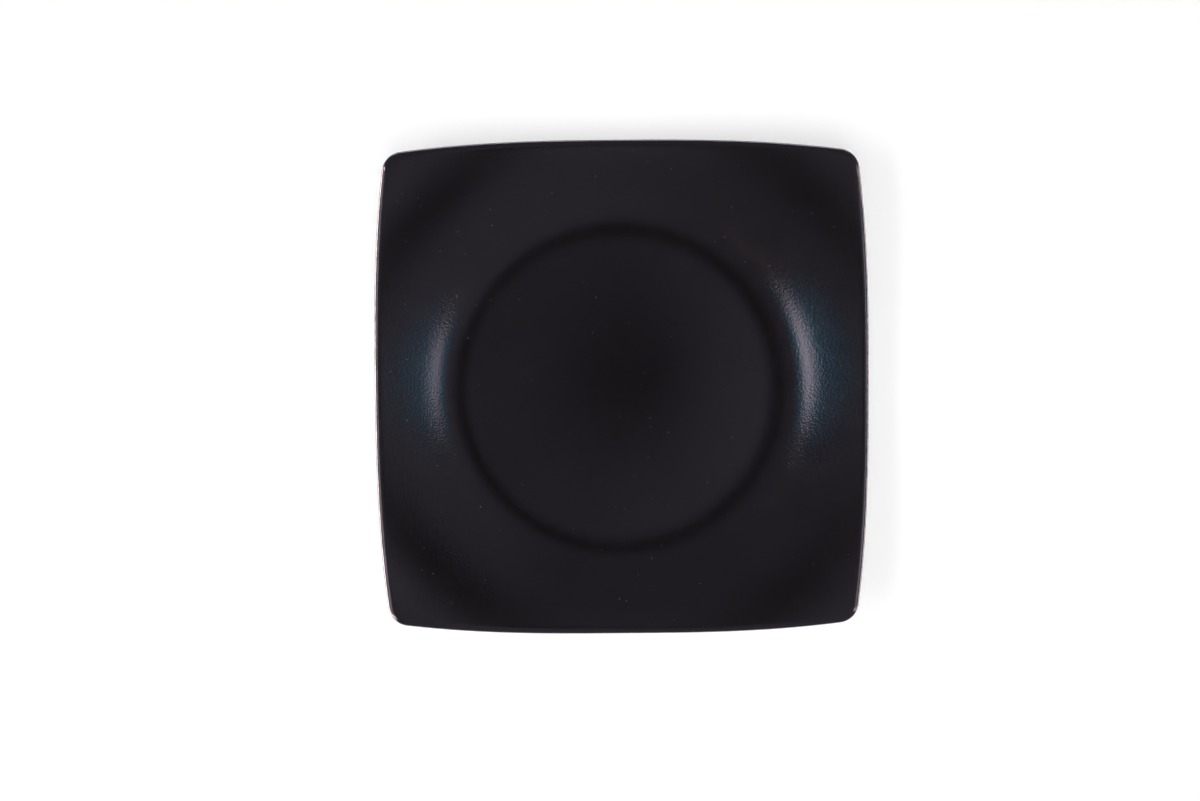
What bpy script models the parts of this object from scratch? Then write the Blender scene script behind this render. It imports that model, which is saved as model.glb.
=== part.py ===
"""Square dessert plate: a fired stoneware body under a satin black glaze.

A round well rises through a hollow curve to a rounded shoulder, and the rim beyond it is cut to a
square with bowed sides, so the corners stand higher than the middles of the sides. The rim keeps its
slope out to the middles of the sides, eases over towards the corners, and is thinned from behind to
a round lip. Every skin, clay or glaze, is read from the same centre surface, at its own distance.
Sizes are in metres, +Z is up, the foot stands on z = 0.
"""
import math
from collections import namedtuple

import bmesh
import bpy
from mathutils import Matrix, Vector

# Outline of the finished plate, seen from above
PLATE_WIDTH = 0.205                    # across the middles of two opposite sides
SIDE_BOW = 0.0069                      # how far a side would fall back by a sharp corner
SIDE_BOW_POWER = 2.45                  # straighter than an arc in the middle, rounder at the ends
CORNER_RADIUS = 0.0091

# Clay wall, measured on its centre surface
WALL_THICKNESS = 0.0032
RIM_THINNING = 0.0007                  # the lip's radius is this much smaller than half the wall
WELL_FLAT_RADIUS = 0.0574
WELL_CURVE_WIDTH = 0.0212              # from the edge of the well's floor out to the shoulder
WELL_CURVE_POWER = 1.45                # the slope grows with this power of the way across it
SHOULDER_TILT = math.radians(20.0)     # steepest slope, where the hollow curve ends
CROWN_RADIUS = 0.115                   # the shoulder eases over by this radius
RIM_TILT = math.radians(16.5)          # to this slope, where the rim begins
SIDE_LIP_TILT = math.radians(15.0)     # what is left of it at the lip, mid-side
CORNER_LIP_TILT = math.radians(6.5)    # and at a corner

# Foot ring, turned on the underside of the well
FOOT_HEIGHT = 0.0040                   # from the table to the clay under the well
FOOT_SETBACK = 0.0040                  # the foot stands this far inside the well's flat, so plates stack
FOOT_WIDTH = 0.0055
FOOT_TAPER = 0.0004                    # each side leans in by this much towards the table
FOOT_ROOT_RADIUS = 0.0020
FOOT_EDGE_RADIUS = 0.0008

# Glaze
GLAZE_CLEARANCE = 0.0003               # between the clay and the glaze
GLAZE_THICKNESS = 0.0003
GLAZE_RUN = 0.0004                     # how far it runs down the foot, past the root curve

# Looks
STONEWARE_COLOUR = (0.42, 0.34, 0.26)
STONEWARE_ROUGHNESS = 0.85
GLAZE_COLOUR = (0.011, 0.009, 0.012)
GLAZE_ROUGHNESS = 0.32

# Divisions of the mesh
SIDE_STEPS = 12
CORNER_STEPS = 5
CURVE_STEPS = 4
CROWN_STEPS = 1
RIM_STEPS = 4
LIP_STEPS = 6
ROOT_STEPS = 3
EDGE_STEPS = 2
BISECTIONS = 40
SHARP_ANGLE = math.radians(35.0)

# Sizes that follow from the ones above
HALF_WIDTH = PLATE_WIDTH / 2
CLAY_OFFSET = WALL_THICKNESS / 2
GLAZE_INNER_OFFSET = CLAY_OFFSET + GLAZE_CLEARANCE
GLAZE_OUTER_OFFSET = GLAZE_INNER_OFFSET + GLAZE_THICKNESS
LIP_RADIUS = GLAZE_OUTER_OFFSET - RIM_THINNING
CENTRE_HEIGHT = FOOT_HEIGHT + CLAY_OFFSET
SHOULDER_RADIUS = WELL_FLAT_RADIUS + WELL_CURVE_WIDTH
SHOULDER_HEIGHT = CENTRE_HEIGHT + math.tan(SHOULDER_TILT) * WELL_CURVE_WIDTH / (WELL_CURVE_POWER + 1)
RIM_RADIUS = SHOULDER_RADIUS + CROWN_RADIUS * (math.sin(SHOULDER_TILT) - math.sin(RIM_TILT))
RIM_HEIGHT = SHOULDER_HEIGHT + CROWN_RADIUS * (math.cos(RIM_TILT) - math.cos(SHOULDER_TILT))
FOOT_OUTER_RADIUS = WELL_FLAT_RADIUS - FOOT_SETBACK
FOOT_INNER_RADIUS = FOOT_OUTER_RADIUS - FOOT_WIDTH

# One column of the plate: its direction from the axis, where its centre surface ends, the edge's
# normal, and the radius by which its rim eases over to the lip
Column = namedtuple("Column", "direction edge_radius outward rim_arc")

# A place on a turned profile: distance from the axis, height, and the clay's outward normal there
Station = namedtuple("Station", "place normal")


def clear_scene():
    for item in list(bpy.data.objects):
        bpy.data.objects.remove(item, do_unlink=True)


def side_station(along):
    """Point and outward normal on the +X side, at a distance along it from its middle."""
    share = abs(along) / HALF_WIDTH
    fall = SIDE_BOW * share ** SIDE_BOW_POWER
    slope = SIDE_BOW * SIDE_BOW_POWER / HALF_WIDTH * share ** (SIDE_BOW_POWER - 1)
    point = Vector((HALF_WIDTH - fall, along))
    normal = Vector((1.0, math.copysign(slope, along))).normalized()
    return point, normal


def side_end():
    """Distance along a side at which a corner's arc meets both its sides smoothly."""
    low, high = 0.0, HALF_WIDTH
    for _ in range(BISECTIONS):
        middle = (low + high) / 2
        point, normal = side_station(middle)
        arc_centre = point - normal * CORNER_RADIUS
        if arc_centre.x > arc_centre.y:
            low = middle
        else:
            high = middle
    return low


def outline():
    """Points and outward normals round the finished edge, side, corner, side and so on."""
    end = side_end()
    quarter = [side_station(end * (2 * step / SIDE_STEPS - 1)) for step in range(SIDE_STEPS)]
    point, normal = side_station(end)
    arc_centre = point - normal * CORNER_RADIUS
    start = math.atan2(normal.y, normal.x)
    sweep = math.pi / 2 - 2 * start
    for step in range(CORNER_STEPS):
        angle = start + sweep * step / CORNER_STEPS
        normal = Vector((math.cos(angle), math.sin(angle)))
        quarter.append((arc_centre + normal * CORNER_RADIUS, normal))
    stations = []
    for turn in range(4):
        rotation = Matrix.Rotation(turn * math.pi / 2, 2)
        stations += [(rotation @ point, rotation @ normal) for point, normal in quarter]
    return stations


def plate_columns():
    """Columns through the outline's points, each ending a lip's radius inside the finished edge."""
    centres = [(point - normal * LIP_RADIUS, normal) for point, normal in outline()]
    nearest = min(centre.length for centre, _ in centres)
    farthest = max(centre.length for centre, _ in centres)
    columns = []
    for centre, normal in centres:
        share = (centre.length - nearest) / (farthest - nearest)
        lip_sine = math.sin(SIDE_LIP_TILT) * (1 - share) + math.sin(CORNER_LIP_TILT) * share
        edge_radius = centre.length + RIM_THINNING * lip_sine
        rim_arc = (edge_radius - RIM_RADIUS) / (math.sin(RIM_TILT) - lip_sine)
        columns.append(Column(centre.normalized(), edge_radius, normal, rim_arc))
    return columns


def arc_over(height, tilt, arc, run):
    """Height and tilt at a run out along an arc that lowers the slope."""
    end = math.asin(math.sin(tilt) - run / arc)
    return height + arc * (math.cos(end) - math.cos(tilt)), end


def wall_centre(column, radius):
    """Height and tilt of the wall's centre surface in a column, at a distance from the axis."""
    if radius <= WELL_FLAT_RADIUS:
        return CENTRE_HEIGHT, 0.0
    if radius <= SHOULDER_RADIUS:
        share = (radius - WELL_FLAT_RADIUS) / WELL_CURVE_WIDTH
        slope = math.tan(SHOULDER_TILT) * share ** WELL_CURVE_POWER
        rise = slope * share * WELL_CURVE_WIDTH / (WELL_CURVE_POWER + 1)
        return CENTRE_HEIGHT + rise, math.atan(slope)
    if radius <= RIM_RADIUS:
        return arc_over(SHOULDER_HEIGHT, SHOULDER_TILT, CROWN_RADIUS, radius - SHOULDER_RADIUS)
    return arc_over(RIM_HEIGHT, RIM_TILT, column.rim_arc, radius - RIM_RADIUS)


def wall_normal(column, tilt):
    lean = -math.sin(tilt)
    return Vector((column.direction.x * lean, column.direction.y * lean, math.cos(tilt)))


def wall_point(column, radius, offset):
    """A point above the centre surface, or below it where the offset is negative."""
    height, tilt = wall_centre(column, radius)
    centre = Vector((column.direction.x * radius, column.direction.y * radius, height))
    return centre + wall_normal(column, tilt) * offset


def lip_point(column, offset, turn):
    """A point on the round lip, turned from the face (0) to the back (pi)."""
    centre = wall_point(column, column.edge_radius, RIM_THINNING)
    normal = wall_normal(column, wall_centre(column, column.edge_radius)[1])
    outward = column.outward.to_3d()
    outward = (outward - normal * outward.dot(normal)).normalized()
    return centre + (normal * math.cos(turn) + outward * math.sin(turn)) * offset


def face_radii():
    """Distances from the axis of the face's rings, from the edge of the floor to where the rim begins."""
    radii = [WELL_FLAT_RADIUS + WELL_CURVE_WIDTH * step / CURVE_STEPS for step in range(CURVE_STEPS)]
    crown_width = RIM_RADIUS - SHOULDER_RADIUS
    return radii + [SHOULDER_RADIUS + crown_width * step / CROWN_STEPS for step in range(CROWN_STEPS)]


def face_rings(columns, offset):
    """Rings from the edge of the well's floor out to the last one before the lip."""
    rings = [[wall_point(column, radius, offset) for column in columns] for radius in face_radii()]
    for step in range(RIM_STEPS):
        share = step / RIM_STEPS
        thinned = offset if offset > 0 else offset + 2 * RIM_THINNING * share ** 2
        ring = []
        for column in columns:
            radius = RIM_RADIUS + (column.edge_radius - RIM_RADIUS) * share
            ring.append(wall_point(column, radius, thinned))
        rings.append(ring)
    return rings


def wall_rings(columns, offset):
    """Rings over the face, round the lip and back under the rim to the flat of the well."""
    rings = face_rings(columns, offset)
    for step in range(LIP_STEPS + 1):
        turn = math.pi * step / LIP_STEPS
        rings.append([lip_point(column, offset - RIM_THINNING, turn) for column in columns])
    return rings + face_rings(columns, -offset)[::-1]


def rounded_corner(before, corner, after, radius, steps):
    """Stations round a corner of the turned profile, with the clay to the right of the path."""
    path_in = (corner - before).normalized()
    path_out = (after - corner).normalized()
    start = math.atan2(path_in.y, path_in.x) + math.pi / 2
    sweep = math.atan2(path_in.cross(path_out), path_in.dot(path_out))
    side = math.copysign(1.0, sweep)
    tangent = corner - path_in * radius * math.tan(abs(sweep) / 2)
    arc_centre = tangent + Vector((math.cos(start), math.sin(start))) * radius * side
    stations = []
    for step in range(steps + 1):
        angle = start + sweep * step / steps
        normal = Vector((math.cos(angle), math.sin(angle)))
        stations.append(Station(arc_centre - normal * radius * side, normal))
    return stations


def foot_corners():
    """Corners of the foot's profile, from under the well's curve in to the axis."""
    return [
        Vector((WELL_FLAT_RADIUS, FOOT_HEIGHT)),
        Vector((FOOT_OUTER_RADIUS, FOOT_HEIGHT)),
        Vector((FOOT_OUTER_RADIUS - FOOT_TAPER, 0.0)),
        Vector((FOOT_INNER_RADIUS + FOOT_TAPER, 0.0)),
        Vector((FOOT_INNER_RADIUS, FOOT_HEIGHT)),
        Vector((0.0, FOOT_HEIGHT)),
    ]


def foot_profile():
    """The four rounded corners of the foot: outer root, two standing edges, inner root."""
    corners = foot_corners()
    radii = [FOOT_ROOT_RADIUS, FOOT_EDGE_RADIUS, FOOT_EDGE_RADIUS, FOOT_ROOT_RADIUS]
    steps = [ROOT_STEPS, EDGE_STEPS, EDGE_STEPS, ROOT_STEPS]
    rounded = []
    for place, (radius, count) in enumerate(zip(radii, steps)):
        rounded.append(rounded_corner(*corners[place:place + 3], radius, count))
    return rounded


def run_down(root_end, towards):
    """Station where the glaze stops, a short run past the root curve down the foot's side."""
    downward = (towards - root_end.place).normalized()
    return Station(root_end.place + downward * GLAZE_RUN, root_end.normal)


def turned_ring(columns, station, offset):
    """One ring of a turned profile, moved off the clay by the offset."""
    place = station.place + station.normal * offset
    return [Vector((c.direction.x * place.x, c.direction.y * place.x, place.y)) for c in columns]


def turned_rings(columns, stations, offset):
    return [turned_ring(columns, station, offset) for station in stations]


def body_rings(columns):
    """The clay: face, lip, back and the whole foot."""
    rings = wall_rings(columns, CLAY_OFFSET)
    for corner in foot_profile():
        rings += turned_rings(columns, corner, 0.0)
    return rings


def glaze_rings(columns):
    """The main coat: out over the face and back to the foot, then home along its inner side."""
    outer_root = foot_profile()[0]
    skirt = outer_root + [run_down(outer_root[-1], foot_corners()[2])]
    outside = wall_rings(columns, GLAZE_OUTER_OFFSET)
    outside += turned_rings(columns, skirt, GLAZE_OUTER_OFFSET - CLAY_OFFSET)
    inside = wall_rings(columns, GLAZE_INNER_OFFSET)
    inside += turned_rings(columns, skirt, GLAZE_INNER_OFFSET - CLAY_OFFSET)
    return outside + inside[::-1]


def foot_well_rings(columns):
    """The glaze inside the foot ring: its clay side, then its open side."""
    inner_root = foot_profile()[3]
    skirt = inner_root[::-1] + [run_down(inner_root[0], foot_corners()[3])]
    inside = turned_rings(columns, skirt, GLAZE_INNER_OFFSET - CLAY_OFFSET)
    outside = turned_rings(columns, skirt, GLAZE_OUTER_OFFSET - CLAY_OFFSET)
    return inside + outside[::-1]


def lofted_mesh(name, rings):
    """A closed mesh through the rings, with a flat disc on the first and the last of them."""
    model = bmesh.new()
    loops = [[model.verts.new(point) for point in ring] for ring in rings]
    for loop, following in zip(loops, loops[1:]):
        for place in range(len(loop)):
            after = (place + 1) % len(loop)
            model.faces.new((loop[place], loop[after], following[after], following[place]))
    model.faces.new(loops[0])
    model.faces.new(loops[-1])
    bmesh.ops.recalc_face_normals(model, faces=model.faces)
    bmesh.ops.triangulate(model, faces=model.faces, quad_method="SHORT_EDGE")
    mesh = bpy.data.meshes.new(name)
    model.to_mesh(mesh)
    model.free()
    mesh.shade_smooth()
    mesh.set_sharp_from_angle(angle=SHARP_ANGLE)
    return mesh


def principled(name, colour, roughness):
    material = bpy.data.materials.new(name)
    material.use_nodes = True
    shader = material.node_tree.nodes["Principled BSDF"]
    shader.inputs["Base Color"].default_value = (*colour, 1.0)
    shader.inputs["Roughness"].default_value = roughness
    shader.inputs["Metallic"].default_value = 0.0
    return material


def add_piece(name, rings, material, parent):
    piece = bpy.data.objects.new(name, lofted_mesh(name, rings))
    piece.data.materials.append(material)
    piece.parent = parent
    bpy.context.collection.objects.link(piece)
    return piece


def main():
    clear_scene()
    columns = plate_columns()
    plate = bpy.data.objects.new("square_dessert_plate", None)
    bpy.context.collection.objects.link(plate)
    stoneware = principled("bare_stoneware", STONEWARE_COLOUR, STONEWARE_ROUGHNESS)
    black_glaze = principled("satin_black_glaze", GLAZE_COLOUR, GLAZE_ROUGHNESS)
    add_piece("stoneware_body", body_rings(columns), stoneware, plate)
    add_piece("glaze_coat", glaze_rings(columns), black_glaze, plate)
    add_piece("foot_well_glaze", foot_well_rings(columns), black_glaze, plate)


main()
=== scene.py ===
"""Looks of the square dessert plate: finely divided clay and glaze, their materials, and a soft studio.

The meshes follow the same centre surface as the solids that they stand for, with more divisions, a
rolled end on the glaze, a clay body that the glaze touches and a lip that turns over more gently.
Sizes are in metres, +Z is up.
"""

import math
from collections import namedtuple

import bmesh
import bpy
from mathutils import Euler, Matrix, Vector

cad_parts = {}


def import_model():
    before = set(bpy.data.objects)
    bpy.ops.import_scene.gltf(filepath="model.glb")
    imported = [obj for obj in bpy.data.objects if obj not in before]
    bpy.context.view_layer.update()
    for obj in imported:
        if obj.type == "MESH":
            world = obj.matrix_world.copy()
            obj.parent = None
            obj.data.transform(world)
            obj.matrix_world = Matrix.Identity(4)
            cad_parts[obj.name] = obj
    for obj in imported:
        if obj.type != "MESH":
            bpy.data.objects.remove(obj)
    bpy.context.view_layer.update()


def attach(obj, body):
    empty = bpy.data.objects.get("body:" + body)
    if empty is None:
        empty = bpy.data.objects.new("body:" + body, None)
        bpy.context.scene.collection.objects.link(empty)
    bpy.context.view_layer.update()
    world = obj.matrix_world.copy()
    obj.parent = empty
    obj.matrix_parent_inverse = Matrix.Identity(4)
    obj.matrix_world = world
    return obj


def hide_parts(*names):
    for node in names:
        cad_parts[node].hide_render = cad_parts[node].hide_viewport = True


# Outline of the finished plate, seen from above
PLATE_WIDTH = 0.205
SIDE_BOW = 0.0069
SIDE_BOW_POWER = 2.45
CORNER_RADIUS = 0.0091

# Wall, measured on its centre surface
WALL_THICKNESS = 0.0032
RIM_THINNING = 0.0007                  # half of what the wall loses by the lip, all of it from behind
LIP_REACH = 0.0024                     # from the outermost edge in to where the lip begins to turn over
WELL_FLAT_RADIUS = 0.0574
WELL_CURVE_WIDTH = 0.0212              # from the edge of the well's floor out to the shoulder
WELL_CURVE_POWER = 1.45                # the slope grows with this power of the way across it
SHOULDER_TILT = math.radians(20.0)
CROWN_RADIUS = 0.115                   # the shoulder eases over by this radius
RIM_TILT = math.radians(16.5)          # to this slope, where the rim begins
SIDE_LIP_TILT = math.radians(15.0)     # what is left of it at the lip, mid-side
CORNER_LIP_TILT = math.radians(6.5)    # and at a corner

# Foot ring
FOOT_HEIGHT = 0.0040
FOOT_SETBACK = 0.0040
FOOT_WIDTH = 0.0055
FOOT_TAPER = 0.0004
FOOT_ROOT_RADIUS = 0.0020
FOOT_EDGE_RADIUS = 0.0008

# Glaze: its outside lies where the solid's does, apart from the lip, and its inside comes down to the clay
GLAZE_BUILD_UP = 0.0006                # from the clay to the outside of the glaze
GLAZE_SEAT = 0.00002                   # keeps the glaze's inside off the clay's own faces
GLAZE_THIN_AT_LIP = 0.5                # how thin it looks by the lip, where 1 is bare clay
GLAZE_RUN = 0.0004                     # how far it runs down the foot, past the root curve
GLAZE_RUN_WAVE = 0.00022               # the glaze line wanders by this much round the foot
GLAZE_RUN_WAVES = ((5, 0.55, 0.4), (11, 0.30, 2.1), (23, 0.15, 4.0))   # waves a turn, share, phase

# Divisions of the meshes
SIDE_STEPS = 64
CORNER_STEPS = 24
FLOOR_STEPS = 10
CURVE_STEPS = 18
CROWN_STEPS = 8
RIM_STEPS = 18
LIP_STEPS = 24
ROOT_STEPS = 10
EDGE_STEPS = 6
BEAD_STEPS = 8
BISECTIONS = 40
SHARP_ANGLE = math.radians(35.0)
DISC_SEGMENTS = 96
THIN_LAYER = "thin"                    # carries how thin the glaze looks, for its material

# Camera, looking almost straight down on the plate with the far side of the table at the top
CAMERA_PLACE = Vector((-0.0087, 0.0215, 0.5690))
CAMERA_TURN = Euler((math.radians(-2.73), math.radians(0.02), math.radians(-0.43)))
CAMERA_LENS = 40.0                     # millimetres, as is the width of the sensor
CAMERA_SENSOR = 36.0
CAMERA_NEAR = 0.01                     # nothing nearer than this is drawn

# Markings on the materials. Ragged flecks grow to their cover between two heights of a noise. Of the round
# specks a share is kept. A cover is how much of the ground they hide, and colours are linear.
Flecks = namedtuple("Flecks", "size low high cover colour")
Specks = namedtuple("Specks", "spacing radius kept cover colour")
SPECK_CORE = 0.4                       # share of a speck's radius within which it is at its strongest
DRIFT_RANGE = (0.3, 0.7)               # a noise's heights that a slow drift is spread between
NOISE_DETAIL = 3.0                     # finer layers in a noise
CLOUD_DETAIL = 4.0
GRAIN_DETAIL = 1.0

# Glaze material
GLAZE_DARK = (0.0062, 0.0048, 0.0066)
GLAZE_LIGHT = (0.0074, 0.0057, 0.0078)
GLAZE_CLOUD_SIZE = 0.022
GLAZE_FLECKS = Flecks(0.0011, 0.58, 0.75, 0.45, (0.0132, 0.0120, 0.0150))
GLAZE_SPECKS = Specks(0.0045, 0.00022, 0.85, 0.6, (0.30, 0.31, 0.34))
GLAZE_THIN_AND_SHEEN_COLOUR = (0.0126, 0.0108, 0.0132)   # lighter towards the lip: glaze drawn thin there, and partly a painted sheen
GLAZE_THIN_AND_SHEEN_COVER = 0.6
GLAZE_BREAK_COLOUR = (0.036, 0.021, 0.012)      # where clay warms it at its thinnest
GLAZE_BREAK_START = 0.65               # how thin it looks where that begins
GLAZE_BREAK_COVER = 0.7
GLAZE_BREAK_LEAST = 0.25               # share of that cover between the patches
GLAZE_BREAK_RANGE = (0.35, 0.7)        # heights of the noise that makes the patches
GLAZE_BREAK_SIZE = 0.004
GLAZE_ROUGHNESS = (0.09, 0.11)
GLAZE_GLOSS_SIZE = 0.009
GLAZE_GRAIN_SIZE = 0.00072
GLAZE_GRAIN_DEPTH = 0.000048
GLAZE_IOR = 1.85
GLAZE_SHEEN = (0.88, 0.82, 1.0)

# Clay material
CLAY_DARK = (0.36, 0.285, 0.21)
CLAY_LIGHT = (0.47, 0.385, 0.30)
CLAY_CLOUD_SIZE = 0.012
CLAY_GRIT = Flecks(0.0006, 0.55, 0.75, 0.5, (0.60, 0.52, 0.43))
CLAY_IRON = Specks(0.0030, 0.00028, 0.45, 0.75, (0.09, 0.055, 0.035))
CLAY_ROUGHNESS = (0.78, 0.92)
CLAY_ROUGH_SIZE = 0.003
CLAY_TURNING_PITCH = 0.0007
CLAY_TURNING_DEPTH = 0.00005
CLAY_GRAIN_SIZE = 0.0005
CLAY_GRAIN_DEPTH = 0.00006

# Studio. A side light is a tall panel in bands. A band has the zenith angles of its top and foot, as the
# plate sees them, and shares of its side's spread and radiance. The key band lights the table, and the
# others show in the glaze only. The glaze bands lie over each other, so that their light fades sideways.
Band = namedtuple("Band", "name top foot spread share colour")
WHITE = (1.0, 1.0, 1.0)
COOL = (0.0, 0.72, 1.0)
WARM = (1.0, 0.85, 0.71)
GLAZE_BAND_TOP = math.radians(26.5)    # the halo band ends here
GLAZE_BAND_FOOT = math.radians(47.0)
KEY_BAND = Band("key", math.radians(35.0), math.radians(49.0), spread=2.2, share=1.0, colour=WHITE)
HALO_BAND = Band("halo", math.radians(20.8), GLAZE_BAND_TOP, spread=1.5, share=1.0, colour=COOL)
GLAZE_BANDS = (
    Band("core", GLAZE_BAND_TOP, GLAZE_BAND_FOOT, spread=0.5, share=0.27, colour=WHITE),
    Band("glow", GLAZE_BAND_TOP, GLAZE_BAND_FOOT, spread=0.9, share=0.25, colour=WHITE),
    Band("wing", GLAZE_BAND_TOP, GLAZE_BAND_FOOT, spread=1.35, share=0.20, colour=WHITE),
)
LIP_BANDS = (
    Band("sill", math.radians(38.0), math.radians(48.5), spread=2.4, share=1.7, colour=WARM),
    Band("lip", math.radians(77.0), math.radians(88.0), spread=2.6, share=1.0, colour=WARM),
)

# A side light's direction from the plate, its width as an angle, the angle by which its bands are lowered,
# and the radiance of each kind of band
Side = namedtuple("Side", "name azimuth spread lean key halo glaze lip")
SIDES = (
    Side("left", math.radians(192.5), math.radians(27.0), lean=0.0,
         key=5.0, halo=0.46, glaze=8.9, lip=42.0),
    Side("right", math.radians(-9.0), math.radians(19.5), lean=math.radians(1.8),
         key=0.8, halo=0.42, glaze=5.2, lip=17.0),
)

# The far panel lights the table and shows in the glaze, both with its one band
FAR_BAND = Band("panel", math.radians(79.5), math.radians(88.5), spread=1.0, share=1.0, colour=WHITE)
FAR_SIDE = Side("far", math.radians(90.0), math.radians(70.0), lean=0.0,
                key=7.0, halo=0.0, glaze=0.0, lip=0.0)
PANEL_DISTANCE = 1.0                   # from the plate's axis to each upright panel of light
Lamp = namedtuple("Lamp", "name place size power")
LAMPS = (
    Lamp("near_lamp", Vector((0.02, -0.55, 1.05)), 0.9, 4.0),
    Lamp("top_lamp", Vector((0.0, -0.05, 1.2)), 0.15, 5.1),
)
ROOM_BRIGHT = (0.160, 0.160, 0.160)
ROOM_DIM = (0.088, 0.088, 0.088)
ROOM_BRIGHT_WAY = Vector((0.90, -0.44, 0.0))   # the room is brightest this way
ROOM_DIM_SHARE = -0.05                 # share of that way up to which it is dim
ROOM_BRIGHT_SHARE = 0.30               # and from which it is at its brightest
CEILING_PATCH = (0.205, 0.205, 0.205)  # a soft lighter patch that the floor of the well mirrors
CEILING_PATCH_WAY = Vector((0.113, -0.038, 0.993))
CEILING_PATCH_CORE = math.radians(1.5)
CEILING_PATCH_REACH = math.radians(6.5)
CARD_CENTRE = Vector((0.021, -0.012, 0.5720))   # the dark camera body, as the plate sees it
CARD_REACH = Vector((0.080, 0.096))    # half sizes at which it has faded out
CARD_DARK_SHARE = 0.40                 # share of the reach that is fully dark
CARD_COLOUR = (0.004, 0.004, 0.004)
FLOOR_REACH = 4.0
FLOOR_DROP = 0.00005                   # the floor lies this far under the foot
FLOOR_COLOUR = (0.80, 0.80, 0.80)
FLOOR_LIFT = 0.32                      # makes the lit floor white, and leaves the shadow on it
FLOOR_NEAR = 0.25                      # the lift is even out to this distance
FLOOR_FAR = 0.90                       # and makes the floor white by itself from this one on

# Sizes that follow from the ones above
HALF_WIDTH = PLATE_WIDTH / 2
CLAY_OFFSET = WALL_THICKNESS / 2
GLAZE_INNER_OFFSET = CLAY_OFFSET + GLAZE_SEAT
GLAZE_OUTER_OFFSET = CLAY_OFFSET + GLAZE_BUILD_UP
LIP_RADIUS = GLAZE_OUTER_OFFSET - RIM_THINNING
LIP_STRETCH = LIP_REACH - LIP_RADIUS   # the lip reaches this much farther out than up
CENTRE_HEIGHT = FOOT_HEIGHT + CLAY_OFFSET
SHOULDER_RADIUS = WELL_FLAT_RADIUS + WELL_CURVE_WIDTH
SHOULDER_HEIGHT = CENTRE_HEIGHT + math.tan(SHOULDER_TILT) * WELL_CURVE_WIDTH / (WELL_CURVE_POWER + 1)
RIM_RADIUS = SHOULDER_RADIUS + CROWN_RADIUS * (math.sin(SHOULDER_TILT) - math.sin(RIM_TILT))
RIM_HEIGHT = SHOULDER_HEIGHT + CROWN_RADIUS * (math.cos(RIM_TILT) - math.cos(SHOULDER_TILT))
FOOT_OUTER_RADIUS = WELL_FLAT_RADIUS - FOOT_SETBACK
FOOT_INNER_RADIUS = FOOT_OUTER_RADIUS - FOOT_WIDTH

# One column of the plate: its direction from the axis, where its centre surface ends, the edge's
# normal, and the radius by which its rim eases over to the lip
Column = namedtuple("Column", "direction edge_radius outward rim_arc")

# A place on a turned profile: distance from the axis, height, and the clay's outward normal there
Station = namedtuple("Station", "place normal")

# One ring of points round the plate, and how thin the glaze has drawn there, from 0 to 1
Ring = namedtuple("Ring", "points thin")


def side_station(along):
    """Point and outward normal on the +X side, at a distance along it from its middle."""
    share = abs(along) / HALF_WIDTH
    fall = SIDE_BOW * share ** SIDE_BOW_POWER
    slope = SIDE_BOW * SIDE_BOW_POWER / HALF_WIDTH * share ** (SIDE_BOW_POWER - 1)
    point = Vector((HALF_WIDTH - fall, along))
    normal = Vector((1.0, math.copysign(slope, along))).normalized()
    return point, normal


def side_end():
    """Distance along a side at which a corner's arc meets both its sides smoothly."""
    low, high = 0.0, HALF_WIDTH
    for _ in range(BISECTIONS):
        middle = (low + high) / 2
        point, normal = side_station(middle)
        arc_centre = point - normal * CORNER_RADIUS
        if arc_centre.x > arc_centre.y:
            low = middle
        else:
            high = middle
    return low


def outline():
    """Points and outward normals round the finished edge, side, corner, side and so on."""
    end = side_end()
    quarter = [side_station(end * (2 * step / SIDE_STEPS - 1)) for step in range(SIDE_STEPS)]
    point, normal = side_station(end)
    arc_centre = point - normal * CORNER_RADIUS
    start = math.atan2(normal.y, normal.x)
    sweep = math.pi / 2 - 2 * start
    for step in range(CORNER_STEPS):
        angle = start + sweep * step / CORNER_STEPS
        normal = Vector((math.cos(angle), math.sin(angle)))
        quarter.append((arc_centre + normal * CORNER_RADIUS, normal))
    stations = []
    for turn in range(4):
        rotation = Matrix.Rotation(turn * math.pi / 2, 2)
        stations += [(rotation @ point, rotation @ normal) for point, normal in quarter]
    return stations


def plate_columns():
    """Columns through the outline's points, each ending where the lip begins to turn over."""
    centres = [(point - normal * LIP_REACH, normal) for point, normal in outline()]
    nearest = min(centre.length for centre, _ in centres)
    farthest = max(centre.length for centre, _ in centres)
    columns = []
    for centre, normal in centres:
        share = (centre.length - nearest) / (farthest - nearest)
        lip_sine = math.sin(SIDE_LIP_TILT) * (1 - share) + math.sin(CORNER_LIP_TILT) * share
        edge_radius = centre.length + RIM_THINNING * lip_sine
        rim_arc = (edge_radius - RIM_RADIUS) / (math.sin(RIM_TILT) - lip_sine)
        columns.append(Column(centre.normalized(), edge_radius, normal, rim_arc))
    return columns


def arc_over(height, tilt, arc, run):
    """Height and tilt at a run out along an arc that lowers the slope."""
    end = math.asin(math.sin(tilt) - run / arc)
    return height + arc * (math.cos(end) - math.cos(tilt)), end


def wall_centre(column, radius):
    """Height and tilt of the wall's centre surface in a column, at a distance from the axis."""
    if radius <= WELL_FLAT_RADIUS:
        return CENTRE_HEIGHT, 0.0
    if radius <= SHOULDER_RADIUS:
        share = (radius - WELL_FLAT_RADIUS) / WELL_CURVE_WIDTH
        slope = math.tan(SHOULDER_TILT) * share ** WELL_CURVE_POWER
        rise = slope * share * WELL_CURVE_WIDTH / (WELL_CURVE_POWER + 1)
        return CENTRE_HEIGHT + rise, math.atan(slope)
    if radius <= RIM_RADIUS:
        return arc_over(SHOULDER_HEIGHT, SHOULDER_TILT, CROWN_RADIUS, radius - SHOULDER_RADIUS)
    return arc_over(RIM_HEIGHT, RIM_TILT, column.rim_arc, radius - RIM_RADIUS)


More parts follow.
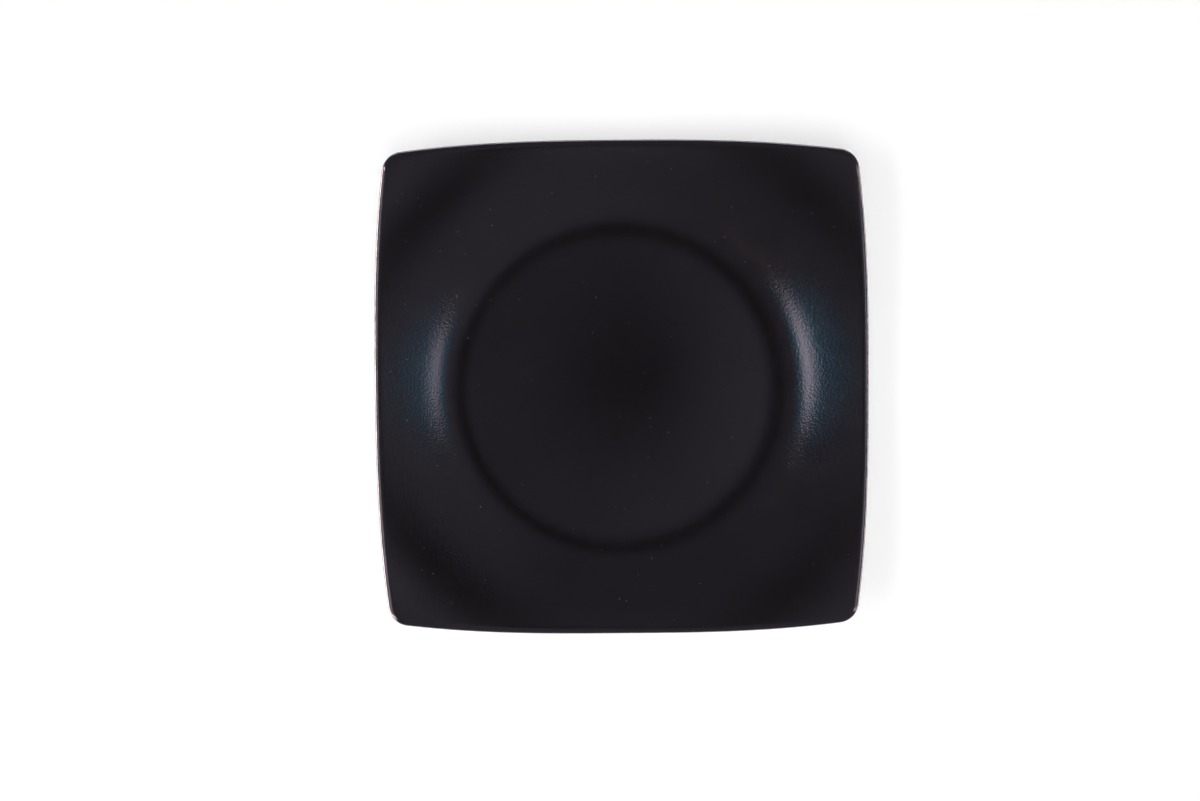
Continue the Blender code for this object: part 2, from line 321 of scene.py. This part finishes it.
def wall_normal(column, tilt):
    lean = -math.sin(tilt)
    return Vector((column.direction.x * lean, column.direction.y * lean, math.cos(tilt)))


def wall_point(column, radius, offset):
    """A point above the centre surface, or below it where the offset is negative."""
    height, tilt = wall_centre(column, radius)
    centre = Vector((column.direction.x * radius, column.direction.y * radius, height))
    return centre + wall_normal(column, tilt) * offset


def lip_point(column, offset, turn):
    """A point on the lip, turned from the face (0) to the back (pi), at an offset from its middle."""
    centre = wall_point(column, column.edge_radius, RIM_THINNING)
    normal = wall_normal(column, wall_centre(column, column.edge_radius)[1])
    outward = column.outward.to_3d()
    outward = (outward - normal * outward.dot(normal)).normalized()
    return centre + normal * offset * math.cos(turn) + outward * (offset + LIP_STRETCH) * math.sin(turn)


def face_radii(with_floor):
    """Distances from the axis at which the face's rings lie, out to where the rim begins."""
    radii = []
    if with_floor:
        radii += [WELL_FLAT_RADIUS * step / FLOOR_STEPS for step in range(1, FLOOR_STEPS)]
    radii += [WELL_FLAT_RADIUS + WELL_CURVE_WIDTH * step / CURVE_STEPS for step in range(CURVE_STEPS)]
    crown_width = RIM_RADIUS - SHOULDER_RADIUS
    return radii + [SHOULDER_RADIUS + crown_width * step / CROWN_STEPS for step in range(CROWN_STEPS)]


def face_rings(columns, offset, with_floor):
    """Rings from the middle of the floor, or from its edge, out to the last one before the lip."""
    rings = []
    for radius in face_radii(with_floor):
        rings.append(Ring([wall_point(column, radius, offset) for column in columns], 0.0))
    for step in range(RIM_STEPS):
        share = step / RIM_STEPS
        thinned = offset if offset > 0 else offset + 2 * RIM_THINNING * share ** 2
        points = []
        for column in columns:
            radius = RIM_RADIUS + (column.edge_radius - RIM_RADIUS) * share
            points.append(wall_point(column, radius, thinned))
        rings.append(Ring(points, GLAZE_THIN_AT_LIP * share ** 2))
    return rings


def wall_rings(columns, offset):
    """Rings over the face, round the lip and back under the rim to the flat of the well."""
    rings = face_rings(columns, offset, with_floor=True)
    for step in range(LIP_STEPS + 1):
        turn = math.pi * step / LIP_STEPS
        points = [lip_point(column, offset - RIM_THINNING, turn) for column in columns]
        rings.append(Ring(points, max(GLAZE_THIN_AT_LIP, math.sin(turn))))
    return rings + face_rings(columns, -offset, with_floor=False)[::-1]


def rounded_corner(before, corner, after, radius, steps):
    """Stations round a corner of the turned profile, with the clay to the right of the path."""
    path_in = (corner - before).normalized()
    path_out = (after - corner).normalized()
    start = math.atan2(path_in.y, path_in.x) + math.pi / 2
    sweep = math.atan2(path_in.cross(path_out), path_in.dot(path_out))
    side = math.copysign(1.0, sweep)
    tangent = corner - path_in * radius * math.tan(abs(sweep) / 2)
    arc_centre = tangent + Vector((math.cos(start), math.sin(start))) * radius * side
    stations = []
    for step in range(steps + 1):
        angle = start + sweep * step / steps
        normal = Vector((math.cos(angle), math.sin(angle)))
        stations.append(Station(arc_centre - normal * radius * side, normal))
    return stations


def foot_corners():
    """Corners of the foot's profile, from under the well's curve in to the axis."""
    return [
        Vector((WELL_FLAT_RADIUS, FOOT_HEIGHT)),
        Vector((FOOT_OUTER_RADIUS, FOOT_HEIGHT)),
        Vector((FOOT_OUTER_RADIUS - FOOT_TAPER, 0.0)),
        Vector((FOOT_INNER_RADIUS + FOOT_TAPER, 0.0)),
        Vector((FOOT_INNER_RADIUS, FOOT_HEIGHT)),
        Vector((0.0, FOOT_HEIGHT)),
    ]


def foot_profile():
    """The four rounded corners of the foot: outer root, two standing edges, inner root."""
    corners = foot_corners()
    radii = [FOOT_ROOT_RADIUS, FOOT_EDGE_RADIUS, FOOT_EDGE_RADIUS, FOOT_ROOT_RADIUS]
    steps = [ROOT_STEPS, EDGE_STEPS, EDGE_STEPS, ROOT_STEPS]
    rounded = []
    for place, (radius, count) in enumerate(zip(radii, steps)):
        rounded.append(rounded_corner(*corners[place:place + 3], radius, count))
    return rounded


def turned_points(columns, place):
    return [Vector((c.direction.x * place.x, c.direction.y * place.x, place.y)) for c in columns]


def turned_rings(columns, stations, offset):
    """Rings of a turned profile, moved off the clay by the offset."""
    return [Ring(turned_points(columns, s.place + s.normal * offset), 0.0) for s in stations]


def glaze_run(direction):
    """How far the glaze has run down the foot in one direction."""
    angle = math.atan2(direction.y, direction.x)
    wave = sum(share * math.sin(count * angle + phase) for count, share, phase in GLAZE_RUN_WAVES)
    return GLAZE_RUN + GLAZE_RUN_WAVE * wave


def bead_rings(columns, root_end, towards):
    """The rolled end of the glaze on the foot, from its outside round to the clay."""
    downward = (towards - root_end.place).normalized()
    middle = (GLAZE_BUILD_UP + GLAZE_SEAT) / 2
    radius = (GLAZE_BUILD_UP - GLAZE_SEAT) / 2
    rings = []
    for step in range(BEAD_STEPS + 1):
        turn = math.pi * step / BEAD_STEPS
        roll = root_end.normal * (middle + radius * math.cos(turn)) + downward * radius * math.sin(turn)
        points = []
        for column in columns:
            place = root_end.place + downward * glaze_run(column.direction) + roll
            points.append(turned_points([column], place)[0])
        rings.append(Ring(points, math.sin(turn)))
    return rings


def disc_rings(columns, height):
    """Rings that fill the flat under the well, from its middle to just inside the foot's root."""
    reach = FOOT_INNER_RADIUS - FOOT_ROOT_RADIUS
    radii = [reach * step / FLOOR_STEPS for step in range(1, FLOOR_STEPS)]
    return [Ring(turned_points(columns, Vector((radius, height))), 0.0) for radius in radii]


def body_rings(columns):
    """The clay: face, lip, back and the whole foot."""
    rings = wall_rings(columns, CLAY_OFFSET)
    for corner in foot_profile():
        rings += turned_rings(columns, corner, 0.0)
    return rings + disc_rings(columns, FOOT_HEIGHT)[::-1]


def glaze_rings(columns):
    """The main coat: out over the face, back to its rolled end on the foot, and home along the clay."""
    outer_root = foot_profile()[0]
    outside = wall_rings(columns, GLAZE_OUTER_OFFSET) + turned_rings(columns, outer_root, GLAZE_BUILD_UP)
    bead = bead_rings(columns, outer_root[-1], foot_corners()[2])
    inside = wall_rings(columns, GLAZE_INNER_OFFSET) + turned_rings(columns, outer_root, GLAZE_SEAT)
    return outside + bead + inside[::-1]


def foot_well_rings(columns):
    """The glaze inside the foot ring: its open side, its rolled end, then its clay side."""
    inner_root = foot_profile()[3][::-1]
    outside = disc_rings(columns, FOOT_HEIGHT - GLAZE_BUILD_UP)
    outside += turned_rings(columns, inner_root, GLAZE_BUILD_UP)
    bead = bead_rings(columns, inner_root[-1], foot_corners()[3])
    inside = disc_rings(columns, FOOT_HEIGHT - GLAZE_SEAT) + turned_rings(columns, inner_root, GLAZE_SEAT)
    return outside + bead + inside[::-1]


def lofted_mesh(name, rings):
    """A closed mesh through the rings, with a small flat disc on the first and the last of them."""
    model = bmesh.new()
    thin = model.verts.layers.float.new(THIN_LAYER)
    loops = []
    for ring in rings:
        loop = [model.verts.new(point) for point in ring.points]
        for vertex in loop:
            vertex[thin] = ring.thin
        loops.append(loop)
    for loop, following in zip(loops, loops[1:]):
        for place in range(len(loop)):
            after = (place + 1) % len(loop)
            model.faces.new((loop[place], loop[after], following[after], following[place]))
    model.faces.new(loops[0])
    model.faces.new(loops[-1])
    bmesh.ops.recalc_face_normals(model, faces=model.faces)
    mesh = bpy.data.meshes.new(name)
    model.to_mesh(mesh)
    model.free()
    mesh.shade_smooth()
    mesh.set_sharp_from_angle(angle=SHARP_ANGLE)
    return mesh


def new_material(name):
    """A material, its node tree and its shader."""
    material = bpy.data.materials.new(name)
    material.use_nodes = True
    return material, material.node_tree, material.node_tree.nodes["Principled BSDF"]


def empty_material(name):
    """A material and its node tree, still without nodes."""
    material = bpy.data.materials.new(name)
    material.use_nodes = True
    material.node_tree.nodes.clear()
    return material, material.node_tree


def add_node(tree, kind, **inputs):
    """A node with its named inputs set; an underscore in a name stands for a space."""
    node = tree.nodes.new(kind)
    for name, value in inputs.items():
        node.inputs[name.replace("_", " ")].default_value = value
    return node


def object_place(tree):
    """Where a point lies in its own object's coordinates."""
    return add_node(tree, "ShaderNodeTexCoord").outputs["Object"]


def math_node(tree, operation, first, second):
    """A sum in the tree. Each operand is a socket or a number."""
    node = tree.nodes.new("ShaderNodeMath")
    node.operation = operation
    for place, operand in enumerate((first, second)):
        if isinstance(operand, float):
            node.inputs[place].default_value = operand
        else:
            tree.links.new(operand, node.inputs[place])
    return node.outputs["Value"]


def multiply(tree, first, second):
    return math_node(tree, "MULTIPLY", first, second)


def vector_node(tree, operation, first, second=(0.0, 0.0, 0.0)):
    """The outputs of a vector sum, of a socket and three numbers."""
    node = tree.nodes.new("ShaderNodeVectorMath")
    node.operation = operation
    tree.links.new(first, node.inputs[0])
    node.inputs[1].default_value = second
    return node.outputs


def remap(tree, source, low, high, to_low, to_high):
    """The source's range from low to high, carried smoothly to another range."""
    node = tree.nodes.new("ShaderNodeMapRange")
    node.interpolation_type = "SMOOTHSTEP"
    tree.links.new(source, node.inputs["Value"])
    node.inputs["From Min"].default_value = low
    node.inputs["From Max"].default_value = high
    node.inputs["To Min"].default_value = to_low
    node.inputs["To Max"].default_value = to_high
    return node.outputs["Result"]


def mix_colour(tree, factor, first, second):
    """A mix of two colours, each a socket or three numbers."""
    node = tree.nodes.new("ShaderNodeMix")
    node.data_type = "RGBA"
    tree.links.new(factor, node.inputs["Factor"])
    for name, operand in (("A", first), ("B", second)):
        socket = next(s for s in node.inputs if s.name == name and s.type == "RGBA")
        if isinstance(operand, tuple):
            socket.default_value = (*operand, 1.0)
        else:
            tree.links.new(operand, socket)
    return next(s for s in node.outputs if s.type == "RGBA")


def noise(tree, size, detail=NOISE_DETAIL):
    """Noise with features about as wide as the size."""
    texture = add_node(tree, "ShaderNodeTexNoise", Scale=1.0 / size, Detail=detail)
    tree.links.new(object_place(tree), texture.inputs["Vector"])
    return texture.outputs["Fac"]


def drift(tree, size, low, high, detail=CLOUD_DETAIL):
    """A slow wander from a low value to a high one and back."""
    return remap(tree, noise(tree, size, detail), *DRIFT_RANGE, low, high)


def with_flecks(tree, tint, flecks):
    """The tint with ragged flecks of another colour on it."""
    mask = remap(tree, noise(tree, flecks.size), flecks.low, flecks.high, 0.0, flecks.cover)
    return mix_colour(tree, mask, tint, flecks.colour)


def speck_mask(tree, specks):
    """1 on the round specks that show, 0 between them."""
    cells = add_node(tree, "ShaderNodeTexVoronoi", Scale=1.0 / specks.spacing)
    tree.links.new(object_place(tree), cells.inputs["Vector"])
    edge = specks.radius / specks.spacing
    near = remap(tree, cells.outputs["Distance"], edge, SPECK_CORE * edge, 0.0, 1.0)
    chance = add_node(tree, "ShaderNodeSeparateColor")
    tree.links.new(cells.outputs["Color"], chance.inputs["Color"])
    chosen = math_node(tree, "LESS_THAN", chance.outputs["Red"], specks.kept)
    return multiply(tree, near, chosen)


def with_specks(tree, tint, specks):
    """The tint with scattered round specks of another colour on it."""
    mask = multiply(tree, speck_mask(tree, specks), specks.cover)
    return mix_colour(tree, mask, tint, specks.colour)


def bump(tree, height, distance, below=None):
    """Relief of a height from 0 to 1, with its full depth in metres, on top of an earlier relief."""
    node = add_node(tree, "ShaderNodeBump", Strength=1.0, Distance=distance)
    tree.links.new(height, node.inputs["Height"])
    if below is not None:
        tree.links.new(below, node.inputs["Normal"])
    return node.outputs["Normal"]


def thinned_and_sheen_tint(tree, tint):
    """The glaze's tint, lighter towards the lip, where it has drawn thin and where a sheen is painted on,
    and browner in patches at its thinnest.
    """
    layer = add_node(tree, "ShaderNodeAttribute")
    layer.attribute_name = THIN_LAYER
    thin = layer.outputs["Fac"]
    # Painted sheen: the tint lightens towards the lip, partly for a glaze drawn thin there
    thin_and_sheen = remap(tree, thin, 0.0, GLAZE_THIN_AT_LIP, 0.0, GLAZE_THIN_AND_SHEEN_COVER)
    tint = mix_colour(tree, thin_and_sheen, tint, GLAZE_THIN_AND_SHEEN_COLOUR)
    broken = remap(tree, thin, GLAZE_BREAK_START, 1.0, 0.0, GLAZE_BREAK_COVER)
    patches = remap(tree, noise(tree, GLAZE_BREAK_SIZE), *GLAZE_BREAK_RANGE, GLAZE_BREAK_LEAST, 1.0)
    return mix_colour(tree, multiply(tree, broken, patches), tint, GLAZE_BREAK_COLOUR)


def black_glaze():
    """Satin black glaze: a fine grain, slow clouds of tint and gloss, pale specks, browner where thin."""
    material, tree, shader = new_material("satin_black_glaze")
    tint = mix_colour(tree, drift(tree, GLAZE_CLOUD_SIZE, 0.0, 1.0), GLAZE_DARK, GLAZE_LIGHT)
    tint = with_flecks(tree, tint, GLAZE_FLECKS)
    tint = with_specks(tree, tint, GLAZE_SPECKS)
    tree.links.new(thinned_and_sheen_tint(tree, tint), shader.inputs["Base Color"])
    gloss = drift(tree, GLAZE_GLOSS_SIZE, *GLAZE_ROUGHNESS)
    tree.links.new(gloss, shader.inputs["Roughness"])
    grain = bump(tree, noise(tree, GLAZE_GRAIN_SIZE, GRAIN_DETAIL), GLAZE_GRAIN_DEPTH)
    tree.links.new(grain, shader.inputs["Normal"])
    shader.inputs["IOR"].default_value = GLAZE_IOR
    shader.inputs["Specular Tint"].default_value = (*GLAZE_SHEEN, 1.0)
    return material


def turning_rings(tree):
    """A wave that goes with the distance from the axis."""
    flat = vector_node(tree, "MULTIPLY", object_place(tree), (1.0, 1.0, 0.0))["Vector"]
    distance = vector_node(tree, "LENGTH", flat)["Value"]
    phase = multiply(tree, distance, 2 * math.pi / CLAY_TURNING_PITCH)
    wave = math_node(tree, "SINE", phase, 0.0)
    return remap(tree, wave, -1.0, 1.0, 0.0, 1.0)


def bare_stoneware():
    """Fired clay: buff, with grit, iron spots and the fine rings that turning leaves."""
    material, tree, shader = new_material("bare_stoneware")
    tint = mix_colour(tree, drift(tree, CLAY_CLOUD_SIZE, 0.0, 1.0), CLAY_DARK, CLAY_LIGHT)
    tint = with_flecks(tree, tint, CLAY_GRIT)
    tint = with_specks(tree, tint, CLAY_IRON)
    tree.links.new(tint, shader.inputs["Base Color"])
    rough = drift(tree, CLAY_ROUGH_SIZE, *CLAY_ROUGHNESS, detail=NOISE_DETAIL)
    tree.links.new(rough, shader.inputs["Roughness"])
    turned = bump(tree, turning_rings(tree), CLAY_TURNING_DEPTH)
    gritty = bump(tree, noise(tree, CLAY_GRAIN_SIZE), CLAY_GRAIN_DEPTH, turned)
    tree.links.new(gritty, shader.inputs["Normal"])
    return material


def add_piece(name, rings, material, node):
    """A piece that rides on the plate and stands for one of its solids."""
    piece = bpy.data.objects.new(name, lofted_mesh(name, rings))
    piece.data.materials.append(material)
    bpy.context.scene.collection.objects.link(piece)
    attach(piece, "root")
    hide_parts(node)
    return piece


def add_plate():
    columns = plate_columns()
    glaze = black_glaze()
    add_piece("clay_body", body_rings(columns), bare_stoneware(), "stoneware_body")
    add_piece("glaze_skin", glaze_rings(columns), glaze, "glaze_coat")
    add_piece("foot_well_skin", foot_well_rings(columns), glaze, "foot_well_glaze")


def add_panel(side, band, radiance):
    """One band of light on an upright plane that faces the plate."""
    high = PANEL_DISTANCE / math.tan(band.top + side.lean)
    low = PANEL_DISTANCE / math.tan(band.foot + side.lean)
    lamp = bpy.data.lights.new(side.name + "_" + band.name, "AREA")
    lamp.shape = "RECTANGLE"
    lamp.size = 2 * PANEL_DISTANCE * math.tan(side.spread * band.spread / 2)
    lamp.size_y = high - low
    lamp.energy = radiance * band.share * math.pi * lamp.size * lamp.size_y
    lamp.color = band.colour
    outward = Vector((math.cos(side.azimuth), math.sin(side.azimuth), 0.0))
    panel = bpy.data.objects.new(lamp.name, lamp)
    panel.location = outward * PANEL_DISTANCE + Vector((0.0, 0.0, (high + low) / 2))
    panel.rotation_euler = (-outward).to_track_quat("-Z", "Y").to_euler()
    bpy.context.scene.collection.objects.link(panel)
    return panel


def add_lamp(lamp):
    """A soft round lamp that faces the plate."""
    light = bpy.data.lights.new(lamp.name, "AREA")
    light.shape = "DISK"
    light.size = lamp.size
    light.energy = lamp.power
    placed = bpy.data.objects.new(lamp.name, light)
    placed.location = lamp.place
    placed.rotation_euler = (-lamp.place).to_track_quat("-Z", "Y").to_euler()
    bpy.context.scene.collection.objects.link(placed)
    return placed


def add_lights():
    for side in SIDES:
        add_panel(side, KEY_BAND, side.key).visible_glossy = False
        add_panel(side, HALO_BAND, side.halo).visible_diffuse = False
        for band in GLAZE_BANDS:
            add_panel(side, band, side.glaze).visible_diffuse = False
        for band in LIP_BANDS:
            add_panel(side, band, side.lip).visible_diffuse = False
    add_panel(FAR_SIDE, FAR_BAND, FAR_SIDE.key)
    for lamp in LAMPS:
        add_lamp(lamp).visible_glossy = False


def stage_disc(name, reach, centre, material):
    """A flat disc of the studio, not part of the plate, given by its half sizes."""
    model = bmesh.new()
    bmesh.ops.create_circle(model, cap_ends=True, segments=DISC_SEGMENTS, radius=1.0)
    mesh = bpy.data.meshes.new(name)
    model.to_mesh(mesh)
    model.free()
    mesh.materials.append(material)
    disc = bpy.data.objects.new(name, mesh)
    disc.location = centre
    disc.scale = (reach.x, reach.y, 1.0)
    bpy.context.scene.collection.objects.link(disc)
    return disc


def distance_from_centre(tree):
    """The distance on a stage disc, as a share of its reach."""
    return vector_node(tree, "LENGTH", object_place(tree))["Value"]


def seen_directly(tree):
    """1 for what the camera sees, also in a mirror or through glass."""
    path = add_node(tree, "ShaderNodeLightPath")
    seen = math_node(tree, "MAXIMUM", path.outputs["Is Camera Ray"], path.outputs["Is Glossy Ray"])
    return math_node(tree, "MAXIMUM", seen, path.outputs["Is Transmission Ray"])


def set_surface(tree, shader):
    output = add_node(tree, "ShaderNodeOutputMaterial")
    tree.links.new(shader, output.inputs["Surface"])


def floor_material():
    """Pale and matt. What looks at it directly sees it lifted to white, under any shadow."""
    material, tree = empty_material("pale_floor")
    matt = add_node(tree, "ShaderNodeBsdfDiffuse", Color=(*FLOOR_COLOUR, 1.0))
    glow = add_node(tree, "ShaderNodeEmission", Color=(*WHITE, 1.0))
    near, far = FLOOR_NEAR / FLOOR_REACH, FLOOR_FAR / FLOOR_REACH
    lift = remap(tree, distance_from_centre(tree), near, far, FLOOR_LIFT, 1.0)
    tree.links.new(multiply(tree, seen_directly(tree), lift), glow.inputs["Strength"])
    both = add_node(tree, "ShaderNodeAddShader")
    tree.links.new(matt.outputs["BSDF"], both.inputs[0])
    tree.links.new(glow.outputs["Emission"], both.inputs[1])
    set_surface(tree, both.outputs["Shader"])
    return material


def card_material():
    """Dark in the middle and clear at the edge, so that its reflection has no outline."""
    material, tree = empty_material("dark_card")
    cover = remap(tree, distance_from_centre(tree), CARD_DARK_SHARE, 1.0, 1.0, 0.0)
    clear = add_node(tree, "ShaderNodeBsdfTransparent")
    dark = add_node(tree, "ShaderNodeEmission", Color=(*CARD_COLOUR, 1.0))
    mixed = add_node(tree, "ShaderNodeMixShader")
    tree.links.new(cover, mixed.inputs["Fac"])
    tree.links.new(clear.outputs["BSDF"], mixed.inputs[1])
    tree.links.new(dark.outputs["Emission"], mixed.inputs[2])
    set_surface(tree, mixed.outputs["Shader"])
    return material


def add_stage():
    floor_reach = Vector((FLOOR_REACH, FLOOR_REACH))
    stage_disc("floor", floor_reach, Vector((0.0, 0.0, -FLOOR_DROP)), floor_material())
    card = stage_disc("dark_card", CARD_REACH, CARD_CENTRE, card_material())
    card.visible_camera = False
    card.visible_diffuse = False
    card.visible_shadow = False


def share_of_way(tree, way):
    """How far the room's direction goes this way: 1 along it, 0 square to it."""
    towards = add_node(tree, "ShaderNodeTexCoord").outputs["Generated"]
    return vector_node(tree, "DOT_PRODUCT", towards, way)["Value"]


def add_room():
    """A dim room round the table, brighter one way. Seen directly it is white."""
    world = bpy.data.worlds.new("studio")
    world.use_nodes = True
    bpy.context.scene.world = world
    tree = world.node_tree
    background = tree.nodes["Background"]
    share = remap(tree, share_of_way(tree, ROOM_BRIGHT_WAY), ROOM_DIM_SHARE, ROOM_BRIGHT_SHARE, 0.0, 1.0)
    room = mix_colour(tree, share, ROOM_DIM, ROOM_BRIGHT)
    edge, core = math.cos(CEILING_PATCH_REACH), math.cos(CEILING_PATCH_CORE)
    patch = remap(tree, share_of_way(tree, CEILING_PATCH_WAY), edge, core, 0.0, 1.0)
    room = mix_colour(tree, patch, room, CEILING_PATCH)
    path = add_node(tree, "ShaderNodeLightPath")
    seen = mix_colour(tree, path.outputs["Is Camera Ray"], room, WHITE)
    tree.links.new(seen, background.inputs["Color"])


def add_camera():
    camera = bpy.data.cameras.new("camera")
    camera.lens = CAMERA_LENS
    camera.sensor_width = CAMERA_SENSOR
    camera.clip_start = CAMERA_NEAR
    placed = bpy.data.objects.new("camera", camera)
    placed.location = CAMERA_PLACE
    placed.rotation_euler = CAMERA_TURN
    bpy.context.scene.collection.objects.link(placed)
    bpy.context.scene.camera = placed


def main():
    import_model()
    bpy.context.scene.view_settings.view_transform = "Standard"
    add_plate()
    add_lights()
    add_stage()
    add_room()
    add_camera()


main()
